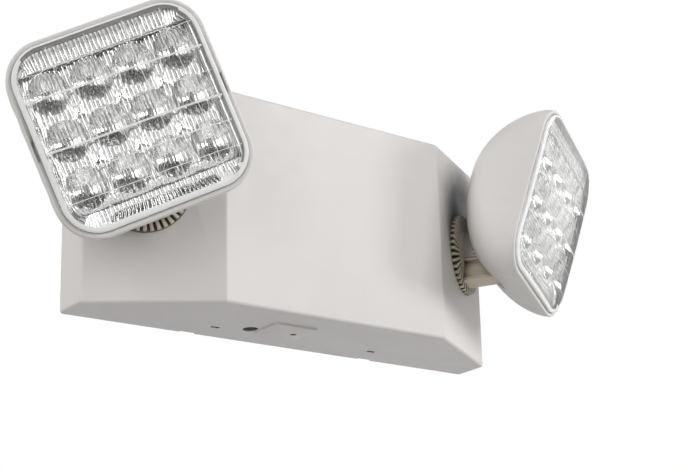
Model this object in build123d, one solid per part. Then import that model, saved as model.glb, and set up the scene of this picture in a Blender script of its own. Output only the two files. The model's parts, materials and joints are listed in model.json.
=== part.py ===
from build123d import *
import math
import os

os.makedirs("parts", exist_ok=True)

# Two-head emergency light for a wall. Millimetres, +Z up, the wall face of the back plate is y = 0
# and the light looks along -Y. The origin is the centre of the wire entry in that wall face.

# Housing
housing_width = 257.2
housing_height = 113.0
housing_depth = 53.5
side_depth = 18.8
front_width = 138.0
draft_rise = 0.043
cover_wall = 2.4
plan_corner_radius = 2.8
edge_radius = 1.7
inner_corner_radius = 1.5
fit_gap = 0.3
face_gap = 0.05

# Back plate
plate_thickness = 3.0
plate_flange_height = 7.0
plate_flange_wall = 1.8
wire_entry_radius = 11.1
wall_screw_spacing = 152.4
wall_screw_radius = 2.5
box_screw_spacing = 83.3
box_screw_radius = 2.2

# Swivel seat on each slanted face
seat_offset = 5.0
seat_rise = 2.0
seat_recess = 1.2
seat_boss_radius = 25.0
seat_boss_height = 2.2
disc_radius = 22.3
disc_base = 1.0
disc_proud = 2.2
rib_count = 40
rib_inner_radius = 13.2
rib_gap_share = 0.48
hub_radius = 8.0
hub_bore_radius = 5.0
hub_length = 13.0
running_gap = 0.05
nut_height = 5.0
nut_across_flats = 21.0
washer_thickness = 0.8
washer_outer_radius = 12.0

# Arm from the disc to the tilt pin
arm_half_width = 5.5
arm_web_half = 1.4
arm_rim = 1.7
arm_top = 4.0
arm_bottom = 18.2
pivot_reach = 30.5
pivot_drop = 11.0
ear_radius = 3.6
pin_radius = 1.5
slot_gap = 0.7

# Lamp head, measured from the tilt pin and from the rim plane of the shell
head_size = 95.25
head_corner_radius = 19.5
head_depth = 48.5
head_rim_ahead = 13.5
head_rise = 32.5
dome_rise = 16.0
dome_roundness = 2.1
dome_back_corner_share = 0.93
shell_wall = 2.2
rim_width = 2.4
rim_edge_radius = 0.9
rim_band = 4.0
lens_pocket_depth = 3.0
ledge_thickness = 1.6
ledge_width = 2.0
lens_crown = 2.8
flute_pitch = 3.1
flute_depth = 0.5
band_pitch = 12.0
band_count = 6
band_width = 1.2
snap_length = 10.0
snap_width = 1.6
snap_depth = 4.2

# Reflector, lamp board and lamps
cup_columns = 4
cup_rows = 3
cup_pitch_x = 20.4
cup_pitch_z = 22.9
cup_radius = 9.9
cup_waist_radius = 7.6
cup_foot_radius = 3.2
cup_depth = 7.9
cup_wall = 0.8
flange_thickness = 1.0
board_thickness = 1.6
lamp_board_bottom_gap = 0.7
lamp_board_height = 68.0
lamp_board_width = 78.0
lamp_size = 4.4
lamp_height = 1.2
lamp_dome_radius = 1.7
boss_radius = 2.8
boss_hole_radius = 1.1
screw_head_radius = 2.4
screw_head_height = 1.5
ear_plate_thickness = 2.5
ear_plate_radius = 4.4

# Rest pose of the photographed light, degrees
left_swivel_rest = 23.4
left_tilt_rest = 10.0
right_swivel_rest = -9.5
right_tilt_rest = 15.0
tilt_least = 9.6
tilt_most = 38.0

# Underside of the housing
button_x = -32.4
button_y = -20.5
button_radius = 3.6
button_bore_gap = 0.25
button_recess = 0.9
button_flange_radius = 5.2
button_flange_height = 1.2
button_stem_radius = 1.5
button_travel = 1.5
pad_x = -15.0
pad_y = -27.0
pad_length = 27.0
pad_width = 21.0
pad_height = 0.9
lamp_window_x = -9.0
lamp_window_y = -25.0
lamp_window_radius = 1.5
latch_x = 50.0
latch_y = -15.0
latch_slot_length = 5.0
latch_slot_width = 2.0
latch_tab_width = 9.0
latch_tab_thickness = 1.6
pry_x = 57.0
pry_length = 9.0
pry_height = 1.3

# Battery pack and electronics inside the housing
cell_radius = 11.5
cell_length = 43.0
cell_count = 3
battery_x = 50.5
battery_wrap = 0.4
board_width = 66.0
board_height = 78.0
board_x = -50.0
board_z = 2.0
standoff_height = 11.0
standoff_radius = 3.0
standoff_inset = 5.0
core_width = 32.0
core_height = 27.0
core_thickness = 14.0
coil_height = 24.0
coil_width = 17.0
transformer_x = -46.0
transformer_z = 16.0
switch_size = 11.0
switch_height = 7.0

half_height = housing_height / 2
half_width = housing_width / 2
slant_run = (housing_width - front_width) / 2
slant_drop = housing_depth - side_depth
slant_angle = math.degrees(math.atan2(slant_drop, slant_run))
draft_angle = math.degrees(math.atan(draft_rise))


def floor_z(y):
    """Height of the drafted underside at a depth y, which is negative towards the front."""
    return -half_height - draft_rise * y


def plan_points(back_y):
    return [
        (-half_width, back_y),
        (half_width, back_y),
        (half_width, -side_depth),
        (front_width / 2, -housing_depth),
        (-front_width / 2, -housing_depth),
        (-half_width, -side_depth),
    ]


def housing_form(inset, back_y, corner_radius, rounded):
    """The drafted block of the housing, with its walls moved inwards by the inset."""
    plan = make_face(Polyline(*plan_points(back_y + inset), close=True))
    if inset > 0:
        plan = offset(plan, amount=-inset, kind=Kind.INTERSECTION)
    front_corners = [v for v in plan.vertices() if v.Y < -1]
    plan = fillet(front_corners, corner_radius)
    block = extrude(plan, amount=housing_height, both=True)
    top_back = half_height - inset + draft_rise * back_y
    top_front = half_height - inset - draft_rise * housing_depth
    side = make_face(
        Polyline(
            (back_y, -top_back),
            (back_y, top_back),
            (-housing_depth, top_front),
            (-housing_depth, -top_front),
            close=True,
        )
    )
    wedge = extrude(Plane.YZ * side, amount=housing_width, both=True)
    form = block & wedge
    if rounded:
        for end in (1, -1):
            face = form.faces().sort_by(Axis.Z)[end if end < 0 else 0]
            edges = [e for e in face.edges() if e.center().Y < -0.5]
            form = fillet(edges, edge_radius)
    return form


def seat_frame(side):
    """Frame on a slanted face: -Y points out of it, Z up, origin at the swivel axis."""
    along = seat_offset
    x = (half_width + front_width / 2) / 2 + along * math.cos(math.radians(slant_angle))
    y = -(housing_depth + side_depth) / 2 + along * math.sin(math.radians(slant_angle))
    return Pos(side * x, y, seat_rise) * Rot(0, 0, side * slant_angle)


def arm_frame(side, swivel):
    return seat_frame(side) * Rot(0, -swivel, 0)


def head_frame(side, swivel, tilt):
    """Frame on the tilt pin of a head that is turned and nods down by the tilt."""
    return arm_frame(side, swivel) * Pos(0, -pivot_reach, -pivot_drop) * Rot(tilt, 0, 0)


def round_bar(radius, start, length):
    """A bar along -Y from the depth start, for a frame whose -Y points outwards."""
    return Pos(0, -start - length / 2, 0) * Rot(90, 0, 0) * Cylinder(radius, length)


def cross_bar(radius, length):
    return Rot(0, 90, 0) * Cylinder(radius, length)


def box_between(low, high):
    size = [b - a for a, b in zip(low, high)]
    middle = [(a + b) / 2 for a, b in zip(low, high)]
    return Pos(*middle) * Box(*size)


nodes = {}


def put(name, shape):
    shape.label = name
    nodes[name] = shape
    export_step(shape, f"parts/{name}.step")


# Front cover: drafted shell with swivel seats, latch slots, the test opening and the lamp pad

def make_front_cover():
    outer = housing_form(0.0, 0.0, plan_corner_radius, True)
    cavity = housing_form(cover_wall, 1.0, inner_corner_radius, False)
    cover = outer - cavity
    for side in (-1, 1):
        seat = seat_frame(side)
        inside = -(seat_recess + seat_boss_height)
        boss = seat * round_bar(seat_boss_radius, inside, seat_boss_height)
        cover = cover + (boss & outer)
        cover = cover - seat * round_bar(disc_radius + fit_gap, -seat_recess, seat_recess + 5)
        cover = cover - seat * round_bar(hub_radius + running_gap, inside - 5, 20)
    for x in (-45.0, 0.0, 45.0):
        rib = box_between(
            (x - 0.7, -housing_depth + cover_wall, -half_height + 9),
            (x + 0.7, -housing_depth + cover_wall + 4, half_height - 9),
        )
        cover = cover + rib
    low = floor_z(pad_y)
    pad_tilt = Pos(pad_x, pad_y, low) * Rot(-draft_angle, 0, 0)
    pad_face = RectangleRounded(pad_length, pad_width, 2.0)
    pad = pad_tilt * extrude(pad_face, amount=-pad_height, taper=25)
    cover = cover + pad
    cover = cover - Pos(button_x, button_y, low) * Cylinder(button_radius + button_bore_gap, 12)
    window = Pos(lamp_window_x, lamp_window_y, low) * Cylinder(lamp_window_radius + face_gap, 12)
    cover = cover - window
    for side in (-1, 1):
        slot = Pos(side * latch_x, latch_y, floor_z(latch_y))
        cover = cover - slot * Box(latch_slot_length, latch_slot_width, 12)
        pry = Pos(side * pry_x, 0, -half_height)
        cover = cover - pry * Box(pry_length, 2 * pry_height, 12)
    return cover


# Back plate: wall plate with a wire entry, screw holes, board posts and cover latches

def make_back_plate():
    inset = cover_wall + fit_gap
    form = housing_form(inset, 0.0, inner_corner_radius, False)
    inner = housing_form(inset + plate_flange_wall, 0.0, inner_corner_radius, False)
    reach = plate_thickness + plate_flange_height
    keep = box_between((-half_width, -reach, -half_height), (half_width, 0, half_height))
    hollow = box_between(
        (-half_width, -reach - 1, -half_height), (half_width, -plate_thickness, half_height)
    )
    plate = (form & keep) - (inner & hollow)
    for side in (-1, 1):
        z = floor_z(latch_y) + cover_wall + fit_gap
        tab = box_between(
            (side * latch_x - latch_tab_width / 2, latch_y - 3, z),
            (side * latch_x + latch_tab_width / 2, -plate_thickness, z + latch_tab_thickness),
        )
        barb = Pos(side * latch_x, latch_y, z) * Box(
            latch_slot_length - 2 * fit_gap, latch_slot_width - 2 * fit_gap, 2 * cover_wall
        )
        barb = barb & box_between((-half_width, -40, z - 1.4), (half_width, 0, z + 1))
        plate = plate - box_between(
            (side * latch_x - latch_tab_width / 2 - 1, -reach - 1, -half_height),
            (side * latch_x + latch_tab_width / 2 + 1, -plate_thickness, z + latch_tab_thickness),
        )
        plate = plate + tab + barb
    for x, z in board_corners():
        post = Pos(x, 0, z) * round_bar(standoff_radius, plate_thickness - 0.5, standoff_height + 0.5)
        plate = plate + post
        plate = plate - Pos(x, 0, z) * round_bar(boss_hole_radius, plate_thickness + 3, standoff_height)
    for side in (-1, 1):
        z = side * (cell_length / 2 + battery_wrap + fit_gap + 0.9)
        wall = box_between(
            (battery_x - 26, -plate_thickness - 9, z - 0.9), (battery_x + 26, -plate_thickness, z + 0.9)
        )
        plate = plate + wall
    plate = plate - Pos(0, plate_thickness, 0) * round_bar(wire_entry_radius, 0, 3 * plate_thickness)
    for side in (-1, 1):
        hole = Pos(side * wall_screw_spacing / 2, plate_thickness, 0)
        plate = plate - hole * round_bar(wall_screw_radius, 0, 3 * plate_thickness)
        hole = Pos(0, plate_thickness, side * box_screw_spacing / 2)
        plate = plate - hole * round_bar(box_screw_radius, 0, 3 * plate_thickness)
    return plate


def board_corners():
    dx = board_width / 2 - standoff_inset
    dz = board_height / 2 - standoff_inset
    return [(board_x + i * dx, board_z + k * dz) for i in (-1, 1) for k in (-1, 1)]


# Battery pack, board and what stands on it

board_front = -(plate_thickness + standoff_height + board_thickness)
cell_pitch = 2 * cell_radius
battery_y = -(plate_thickness + face_gap + battery_wrap + cell_radius)


def make_battery():
    span = (cell_count - 1) * cell_pitch
    radius = cell_radius + battery_wrap
    outline = Pos(0, 0) * SlotOverall(span + 2 * radius, 2 * radius)
    pack = extrude(outline, amount=cell_length / 2 + battery_wrap, both=True)
    for k in range(cell_count - 1):
        for side in (-1, 1):
            x = (k + 0.5) * cell_pitch - span / 2
            groove = Pos(x, side * (radius + cell_radius * 0.78), 0)
            pack = pack - groove * Cylinder(cell_radius, cell_length + 5)
    return Pos(battery_x, battery_y, 0) * pack


def make_battery_strap():
    width = 12.0
    span = (cell_count - 1) * cell_pitch + 2 * (cell_radius + battery_wrap)
    front = battery_y - cell_radius - battery_wrap - fit_gap
    half = span / 2 + fit_gap
    back = -plate_thickness - face_gap
    path = [
        (-half - 9, back - 0.5),
        (-half - 0.5, back - 0.5),
        (-half - 0.5, front - 0.5),
        (half + 0.5, front - 0.5),
        (half + 0.5, back - 0.5),
        (half + 9, back - 0.5),
    ]
    outline = make_face(Polyline(*path, *[(x, y + 0.0) for x, y in strap_return(path)], close=True))
    strap = extrude(outline, amount=width / 2, both=True)
    strap = Pos(battery_x, 0, 0) * strap
    return strap


def strap_return(path):
    """The outer side of the strap, one sheet thickness out from the inner side."""
    (x0, y0), (x1, _), (_, y2), (x3, _), _, (x5, _) = path
    t = 1.0
    return [
        (x5, y0 - t),
        (x3 + t, y0 - t),
        (x3 + t, y2 - t),
        (x1 - t, y2 - t),
        (x1 - t, y0 - t),
        (x0, y0 - t),
    ]


def make_board():
    board = box_between(
        (board_x - board_width / 2, board_front, board_z - board_height / 2),
        (board_x + board_width / 2, board_front + board_thickness, board_z + board_height / 2),
    )
    for x, z in board_corners():
        board = board - Pos(x, 0, z) * round_bar(boss_hole_radius + 0.4, 5, 20)
    return board


def screw(length):
    """A pan head screw in a frame whose -Y points out of the face that its head sits on."""
    head = round_bar(screw_head_radius, 0.0, screw_head_height)
    head = fillet(head.faces().sort_by(Axis.Y)[0].edges(), 0.6)
    shank = round_bar(boss_hole_radius - face_gap, -length, length + 0.2)
    recess = Pos(0, -screw_head_height, 0) * (Box(2.6, 1.2, 0.6) + Box(0.6, 1.2, 2.6))
    return head + shank - recess


def make_board_screws():
    return [Pos(x, board_front - face_gap, z) * screw(5.0) for x, z in board_corners()]


def make_transformer_core():
    y = board_front - face_gap - coil_height / 2
    core = Pos(transformer_x, y, transformer_z) * Box(core_width, core_thickness, core_height)
    for side in (-1, 1):
        x = transformer_x + side * core_width / 4
        window = Pos(x, y, transformer_z) * Box(core_width / 4, core_thickness + 2, core_height - 14)
        core = core - window
    return core


def make_transformer_coil():
    y = board_front - face_gap
    core_window = core_height - 14
    flange = box_between(
        (transformer_x - coil_width / 2, y - coil_height, transformer_z - core_window / 2 + 0.2),
        (transformer_x + coil_width / 2, y, transformer_z + core_window / 2 - 0.2),
    )
    flange = fillet(flange.edges().filter_by(Axis.Z), 2.5)
    leg = Pos(transformer_x, y - coil_height / 2, transformer_z)
    limb = leg * Box(core_width / 4 + 0.2, core_thickness + 0.2, core_height)
    side_legs = [
        Pos(transformer_x + side * core_width / 2, y - coil_height / 2, transformer_z)
        * Box(core_width / 4 + 0.2, core_thickness + 0.2, core_height)
        for side in (-1, 1)
    ]
    coil = flange - limb
    for piece in side_legs:
        coil = coil - piece
    return coil


def make_capacitors():
    y = board_front - face_gap
    places = [
        (-70.0, 24.0, 5.0, 16.0),
        (-70.0, 10.0, 4.0, 11.0),
        (-60.0, -14.0, 6.3, 20.0),
        (-75.0, -6.0, 4.0, 11.0),
    ]
    cans = []
    for x, z, radius, height in places:
        can = Pos(x, y, z) * round_bar(radius, 0, height)
        cans.append(fillet(can.faces().sort_by(Axis.Y)[0].edges(), 0.8))
    return cans


def make_terminal_block():
    y = board_front - face_gap
    block = box_between((-32.0, y - 11, -27.0), (-21.0, y, -3.0))
    for k in range(3):
        z = -15.0 + (k - 1) * 7.6
        block = block - Pos(-21.0, y - 4, z) * Rot(0, 90, 0) * Cylinder(2.2, 8)
        block = block - Pos(-27.0, y - 11, z) * Rot(90, 0, 0) * Cylinder(1.8, 6)
    return block


# Test switch, button and indicator

button_floor = floor_z(button_y)
switch_low = button_floor + cover_wall + 6.0


def make_test_switch():
    y = board_front - face_gap
    body = box_between(
        (button_x - switch_size / 2, y - switch_size, switch_low),
        (button_x + switch_size / 2, y, switch_low + switch_height),
    )
    bore = Pos(button_x, button_y, switch_low) * Cylinder(button_stem_radius + running_gap, 2 * 4.5)
    return body - bore


def make_test_button():
    low = button_floor + button_recess
    flange_low = button_floor + cover_wall + 0.6
    cap_height = flange_low + 0.2 - low
    cap = Pos(button_x, button_y, low + cap_height / 2) * Cylinder(button_radius, cap_height)
    cap = fillet(cap.faces().sort_by(Axis.Z)[0].edges(), 0.5)
    flange = Pos(button_x, button_y, flange_low + button_flange_height / 2) * Cylinder(
        button_flange_radius, button_flange_height
    )
    stem_top = switch_low + 4.5 - button_travel - 0.5
    stem_middle = Pos(button_x, button_y, (flange_low + stem_top) / 2)
    stem = stem_middle * Cylinder(button_stem_radius, stem_top - flange_low)
    return cap + flange + stem


def make_indicator_lamp():
    low = floor_z(lamp_window_y) - pad_height + 0.3
    rod = Pos(lamp_window_x, lamp_window_y, low + 5) * Cylinder(lamp_window_radius, 10)
    rod = fillet(rod.faces().sort_by(Axis.Z)[0].edges(), 0.7)
    collar_z = floor_z(lamp_window_y) + cover_wall + 1.0
    collar = Pos(lamp_window_x, lamp_window_y, collar_z) * Cylinder(2.6, 1.0)
    return rod + collar


# Swivel arm: ribbed disc, hub and the channel-sided arm with the ear for the tilt pin

def arm_outline(grow):
    """Side view of the arm in its own frame, drawn with y from the wall forwards and z up."""
    root = -disc_proud + 0.4
    reach = -pivot_reach
    outline = make_face(
        Polyline(
            (root, -arm_top + grow),
            (root - 11, -arm_top - 0.6 + grow),
            (reach, -pivot_drop + ear_radius + grow),
            (reach, -pivot_drop - ear_radius - grow),
            (reach + 10, -arm_bottom + 0.6 - grow),
            (root, -arm_bottom - grow),
            close=True,
        )
    )
    return outline + Pos(reach, -pivot_drop) * Circle(ear_radius + grow)


def slot_outline():
    """Side view of the room that the arm needs in the head from the least tilt to the most."""
    steps = 5
    room = Sketch()
    for k in range(steps + 1):
        tilt = tilt_least + (tilt_most - tilt_least) * k / steps
        room = room + Rot(0, 0, -tilt) * Pos(pivot_reach, pivot_drop) * arm_outline(slot_gap)
    return room


def make_swivel_arm():
    lift = seat_recess - face_gap
    total = disc_proud + seat_recess - face_gap
    disc = round_bar(disc_radius, -lift, disc_base)
    rim_height = total - disc_base
    crown = round_bar(disc_radius, -lift + disc_base, rim_height)
    gap_angle = 360 / rib_count * rib_gap_share
    gap_width = 2 * disc_radius * math.sin(math.radians(gap_angle / 2))
    inner_width = 2 * rib_inner_radius * math.sin(math.radians(gap_angle / 2))
    gap_face = make_face(
        Polyline(
            (rib_inner_radius, -inner_width / 2),
            (disc_radius + 2, -gap_width / 2),
            (disc_radius + 2, gap_width / 2),
            (rib_inner_radius, inner_width / 2),
            close=True,
        )
    )
    gap = Plane.XZ * gap_face
    cutter = extrude(gap, amount=rim_height + 1)
    gap_base = -lift + disc_base
    cuts = [Pos(0, -gap_base, 0) * Rot(0, 360 / rib_count * k, 0) * cutter for k in range(rib_count)]
    crown = crown - cuts
    disc = disc + crown
    hub_start = -(hub_length + lift)
    disc = disc + round_bar(hub_radius, hub_start, hub_length + 0.5)
    solid = extrude(Plane.YZ * arm_outline(0.0), amount=arm_half_width, both=True)
    core = extrude(Plane.YZ * arm_outline(-arm_rim), amount=arm_half_width, both=True)
    web = extrude(Plane.YZ * arm_outline(0.0), amount=arm_web_half, both=True)
    pin_boss = Pos(0, -pivot_reach, -pivot_drop) * cross_bar(ear_radius, 2 * arm_half_width)
    arm = solid - core + web + pin_boss
    arm = disc + arm
    arm = arm - round_bar(hub_bore_radius, hub_start - 1, hub_length + 1 + 0.3)
    arm = arm - Pos(0, -pivot_reach, -pivot_drop) * cross_bar(pin_radius, 4 * arm_half_width)
    return arm


def make_hub_nut():
    start = -(seat_recess + seat_boss_height + washer_thickness + 2 * 0.1 + nut_height)
    hexagon = RegularPolygon(nut_across_flats / 2, 6, major_radius=False)
    body = Pos(0, -start, 0) * extrude(Plane.XZ * hexagon, amount=nut_height)
    return body - round_bar(hub_radius + running_gap, start - 1, nut_height + 2)


def make_friction_washer():
    start = -(seat_recess + seat_boss_height + 0.1 + washer_thickness)
    ring = round_bar(washer_outer_radius, start, washer_thickness)
    return ring - round_bar(hub_radius + running_gap, start - 1, washer_thickness + 2)


def make_pivot_pin():
    half = arm_half_width + 0.6 + ear_plate_thickness
    pin = cross_bar(pin_radius, 2 * half)
    return Pos(0, -pivot_reach, -pivot_drop) * chamfer(pin.edges().filter_by(GeomType.CIRCLE), 0.3)


# Lamp head in the frame of its tilt pin: rim plane at y = -head_rim_ahead, depth t runs backwards

def at_depth(t):
    return Plane(origin=(0, -head_rim_ahead + t, head_rise), x_dir=(1, 0, 0), z_dir=(0, 1, 0))


def dome(half, corner, depth, start):
    """Domed form from a rounded square at the depth start to a round back, its crown set high."""
    sections = []
    for angle in (0, 16, 32, 47, 61, 73, 83):
        a = math.radians(angle)
        shrink = math.cos(a) ** (2 / dome_roundness)
        t = start + (depth - start) * math.sin(a) ** (2 / dome_roundness)
        size = half * shrink
        share = corner / half + (dome_back_corner_share - corner / half) * math.sin(a)
        lift = dome_rise * (1 - shrink)
        plane = at_depth(t)
        sections.append(plane * Pos(0, -lift, 0) * RectangleRounded(2 * size, 2 * size, size * share))
    tip = Vertex(0, -head_rim_ahead + depth, head_rise + dome_rise)
    return loft(sections + [tip])


def square_bar(half, corner, start, end):
    return extrude(at_depth(start) * RectangleRounded(2 * half, 2 * half, corner), amount=end - start)


reflector_front = lens_pocket_depth + ledge_thickness + face_gap
board_depth = reflector_front + cup_depth + face_gap
board_low_z = ear_radius + lamp_board_bottom_gap
board_high_z = board_low_z + lamp_board_height


def boss_places():
    """The lamp board's screws stand in the middle between four cups."""
    return [(i * cup_pitch_x, head_rise + k * cup_pitch_z / 2) for i in (-1, 1) for k in (-1, 1)]


def make_head_shell():
    half = head_size / 2
    rim = square_bar(half, head_corner_radius, 0.0, rim_band)
    rim = fillet(rim.faces().sort_by(Axis.Y)[0].edges(), rim_edge_radius)
    outer = rim + dome(half, head_corner_radius, head_depth, rim_band)
    pocket_half = half - rim_width
    pocket_corner = head_corner_radius - rim_width
    back_start = lens_pocket_depth + ledge_thickness
    inner = dome(half - shell_wall, head_corner_radius - shell_wall, head_depth - shell_wall, rim_band)
    inner = inner & box_between((-100, -head_rim_ahead + back_start, -100), (100, 100, 150))
    side_room = arm_half_width + slot_gap
    cutters = [
        inner,
        square_bar(pocket_half, pocket_corner, -5, lens_pocket_depth),
        square_bar(pocket_half - ledge_width, pocket_corner - ledge_width, 0, back_start + 1),
        extrude(Plane.YZ * slot_outline(), amount=side_room, both=True),
    ]
    for side in (-1, 1):
        window = Pos(side * (pocket_half + snap_width / 2 - 0.2), -head_rim_ahead, head_rise)
        cutters.append(window * Box(snap_width, 2 * snap_depth, snap_length))
    shell = outer - cutters
    inserts = []
    for side in (-1, 1):
        middle = side * (side_room + ear_plate_thickness / 2)
        ear = Pos(middle, 0, -half / 2) * Box(ear_plate_thickness, 2 * ear_plate_radius, half)
        inserts.append(ear + Pos(middle, 0, 0) * cross_bar(ear_plate_radius, ear_plate_thickness))
    post_start = -head_rim_ahead + board_depth + board_thickness + face_gap
    for x, z in boss_places():
        inserts.append(Pos(x, post_start + 20, z) * Rot(90, 0, 0) * Cylinder(boss_radius, 40))
    shell = shell + [piece & outer for piece in inserts]
    holes = [cross_bar(pin_radius + running_gap, 60)]
    for x, z in boss_places():
        holes.append(Pos(x, post_start + 3, z) * Rot(90, 0, 0) * Cylinder(boss_hole_radius, 8))
    return shell - holes


def make_lens():
    half = head_size / 2 - rim_width - fit_gap / 2
    corner = head_corner_radius - rim_width - fit_gap / 2
    back = lens_pocket_depth - face_gap
    bar = square_bar(half, corner, -lens_crown - 2, back)
    crown_radius = (half**2 + lens_crown**2) / (2 * lens_crown)
    centre_t = crown_radius - lens_crown
    ball = at_depth(centre_t) * Sphere(crown_radius)
    front = bar & ball
    lens = front
    count = int(2 * (half - 3) / flute_pitch)
    back_y = -head_rim_ahead + back
    flute = make_face(
        Polyline((-flute_pitch / 2, 0.1), (0, -flute_depth), (flute_pitch / 2, 0.1), close=True)
    )
    flute_bar = extrude(flute, amount=half - 2.5, both=True)
    first_x = -(count - 1) / 2 * flute_pitch
    cuts = [Pos(first_x + k * flute_pitch, back_y, head_rise) * flute_bar for k in range(count)]
    lens = lens - cuts
    for k in range(band_count):
        z = head_rise + (k - (band_count - 1) / 2) * band_pitch
        y = -head_rim_ahead - lens_crown + sag(z - head_rise, crown_radius)
        tilt = math.degrees(math.asin((z - head_rise) / crown_radius))
        groove = Box(2 * half - 8, band_width, band_width)
        lens = lens - Pos(0, y, z) * Rot(tilt, 0, 0) * Rot(45, 0, 0) * groove
    for side in (-1, 1):
        tab = Pos(side * (half + 0.4), -head_rim_ahead + back - 1.2, head_rise)
        lens = lens + tab * Box(1.4, 2.2, snap_length - 2 * fit_gap)
    return lens


def sag(distance, radius):
    return radius - math.sqrt(radius**2 - distance**2)


def cup_places():
    return [
        ((i - (cup_columns - 1) / 2) * cup_pitch_x, (k - (cup_rows - 1) / 2) * cup_pitch_z)
        for k in range(cup_rows)
        for i in range(cup_columns)
    ]


def cup_solid(extra, start, end):
    """Turned form of one cup: a steep upper cone, a lower cone and an open foot."""
    waist = start + (end - start) * 0.5
    profile = make_face(
        Polyline(
            (0, start),
            (cup_radius + extra, start),
            (cup_waist_radius + extra, waist),
            (cup_foot_radius + extra, end),
            (0, end),
            close=True,
        )
    )
    turned = revolve(profile, Axis.Y)
    return Pos(0, -head_rim_ahead, head_rise) * turned


def make_reflector():
    half = head_size / 2 - rim_width - ledge_width + 0.6
    corner = head_corner_radius - rim_width - ledge_width + 0.6
    front = reflector_front
    back = front + cup_depth
    plate = square_bar(half, corner, front, front + flange_thickness)
    outer_cup = cup_solid(cup_wall, front, back)
    inner_cup = cup_solid(0.0, front - 0.01, back + 0.01)
    body = plate + [Pos(x, 0, z) * outer_cup for x, z in cup_places()]
    body = body - [Pos(x, 0, z) * inner_cup for x, z in cup_places()]
    return body


def make_lamp_board():
    y = -head_rim_ahead + board_depth
    board = box_between(
        (-lamp_board_width / 2, y, board_low_z),
        (lamp_board_width / 2, y + board_thickness, board_high_z),
    )
    board = fillet(board.edges().filter_by(Axis.Y), 6.0)
    for x, z in boss_places():
        board = board - Pos(x, y, z) * Rot(90, 0, 0) * Cylinder(boss_hole_radius + 0.3, 10)
    return board


def make_lamps():
    y = -head_rim_ahead + board_depth - face_gap
    chips = []
    for x, z in cup_places():
        chip = Pos(x, y - lamp_height / 2, head_rise + z) * Box(lamp_size, lamp_height, lamp_size)
        lens = Pos(x, y - lamp_height, head_rise + z) * Rot(90, 0, 0) * Cone(lamp_dome_radius, 0.9, 1.6)
        chips.append(chip + lens)
    return chips


def make_lamp_screws():
    y = -head_rim_ahead + board_depth - face_gap
    return [Pos(x, y, z) * screw(6.0) for x, z in boss_places()]


put("front_cover", make_front_cover())
put("back_plate", make_back_plate())
put("battery_pack", make_battery())
put("battery_strap", make_battery_strap())
put("circuit_board", make_board())
put("board_screws", Compound(children=make_board_screws()))
put("transformer_core", make_transformer_core())
put("transformer_coil", make_transformer_coil())
put("capacitors", Compound(children=make_capacitors()))
put("terminal_block", make_terminal_block())
put("test_switch", make_test_switch())
put("test_button", make_test_button())
put("indicator_lamp", make_indicator_lamp())

arm_pieces = {
    "swivel_arm": make_swivel_arm(),
    "hub_nut": make_hub_nut(),
    "friction_washer": make_friction_washer(),
    "pivot_pin": make_pivot_pin(),
}
head_pieces = {
    "head_shell": [make_head_shell()],
    "lens": [make_lens()],
    "reflector": [make_reflector()],
    "lamp_board": [make_lamp_board()],
    "lamps": make_lamps(),
    "lamp_screws": make_lamp_screws(),
}
rest_poses = {
    "left": (-1, left_swivel_rest, left_tilt_rest),
    "right": (1, right_swivel_rest, right_tilt_rest),
}
for side_name, (side, swivel, tilt) in rest_poses.items():
    for piece, shape in arm_pieces.items():
        put(f"{side_name}_{piece}", arm_frame(side, swivel) * shape)
    for piece, shapes in head_pieces.items():
        placed = [head_frame(side, swivel, tilt) * shape for shape in shapes]
        put(f"{side_name}_{piece}", placed[0] if len(placed) == 1 else Compound(children=placed))
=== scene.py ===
import json
import math

import bmesh
import bpy
from mathutils import Matrix, Vector


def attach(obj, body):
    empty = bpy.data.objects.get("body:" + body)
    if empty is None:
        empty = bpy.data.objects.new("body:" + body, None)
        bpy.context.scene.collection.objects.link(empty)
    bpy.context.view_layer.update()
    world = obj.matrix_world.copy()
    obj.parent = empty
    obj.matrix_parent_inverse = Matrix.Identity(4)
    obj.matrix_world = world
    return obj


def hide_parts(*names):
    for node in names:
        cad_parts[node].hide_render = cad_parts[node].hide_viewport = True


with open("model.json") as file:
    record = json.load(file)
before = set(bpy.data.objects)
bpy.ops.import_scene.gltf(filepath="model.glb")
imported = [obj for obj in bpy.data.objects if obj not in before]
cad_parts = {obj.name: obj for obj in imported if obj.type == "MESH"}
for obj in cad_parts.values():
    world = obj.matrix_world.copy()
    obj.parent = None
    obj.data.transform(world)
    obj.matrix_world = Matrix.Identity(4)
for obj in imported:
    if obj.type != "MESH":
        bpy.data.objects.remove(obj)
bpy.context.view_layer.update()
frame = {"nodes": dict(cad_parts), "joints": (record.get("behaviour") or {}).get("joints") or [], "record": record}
nodes = frame["nodes"]
joints = {joint["name"]: joint for joint in frame["joints"]}
mm = 0.001


# A hex colour as the linear values that a colour socket takes
def srgb(text):
    values = [int(text[k:k + 2], 16) / 255 for k in (1, 3, 5)]
    linear = [v / 12.92 if v <= 0.04045 else ((v + 0.055) / 1.055) ** 2.4 for v in values]
    return (*linear, 1.0)


# Adds a node, sets its properties and sockets, and links the sockets that are given as inputs
def addNode(tree, kind, settings=None, inputs=None):
    node = tree.nodes.new(kind)
    for key, value in (settings or {}).items():
        setattr(node, key, value)
    for key, value in (inputs or {}).items():
        socket = node.inputs[key]
        if isinstance(value, bpy.types.NodeSocket):
            tree.links.new(value, socket)
        else:
            socket.default_value = value
    return node


def newMaterial(name):
    material = bpy.data.materials.new(name)
    material.use_nodes = True
    tree = material.node_tree
    tree.nodes.clear()
    return material, tree, addNode(tree, "ShaderNodeTexCoord").outputs["Object"]


# Materials read Object coordinates in metres, so the scale of a noise is 1000 over its size in mm

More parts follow.
